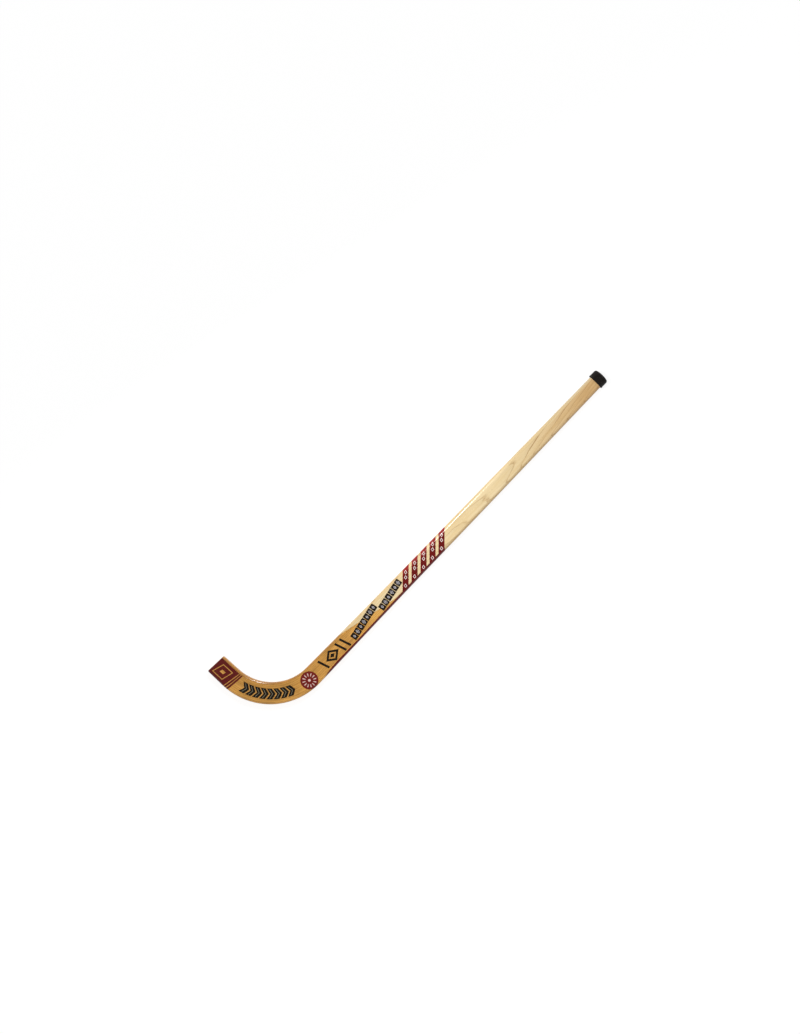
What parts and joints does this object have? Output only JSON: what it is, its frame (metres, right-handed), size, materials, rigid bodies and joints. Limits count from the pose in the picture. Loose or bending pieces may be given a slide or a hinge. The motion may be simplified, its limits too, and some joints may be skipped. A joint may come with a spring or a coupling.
{
  "type": "roller hockey stick",
  "caption": "Wooden roller hockey stick: straight ash handle spliced to a blade of bent plies that turns a right angle, with a rubber cap on the butt.",
  "frame": {"origin": "on the blade's back face, on the middle line of the stick, where the straight shaft meets the bend", "axes": "+X up the middle of the shaft to the butt, +Y to the inside of the hook, +Z through the thickness, out of the front face; the toe points to +Y"},
  "size_m": [0.9964, 0.1823, 0.022],
  "materials": {
    "ash": "clear gloss varnish over pale straight-grained ash",
    "honey_wood": "clear gloss varnish over honey-brown bent plies, glue lines just visible",
    "rubber": "moulded black rubber, satin"
  },
  "bodies": {
    "root": {"blade_ply_01": "honey_wood", "blade_ply_02": "honey_wood", "blade_ply_03": "honey_wood", "blade_ply_04": "honey_wood", "blade_ply_05": "honey_wood", "blade_ply_06": "honey_wood", "blade_ply_07": "honey_wood", "blade_ply_08": "honey_wood", "blade_ply_09": "honey_wood", "blade_ply_10": "honey_wood", "blade_ply_11": "honey_wood", "handle": "ash", "butt_cap": "rubber"}
  },
  "joints": []
}
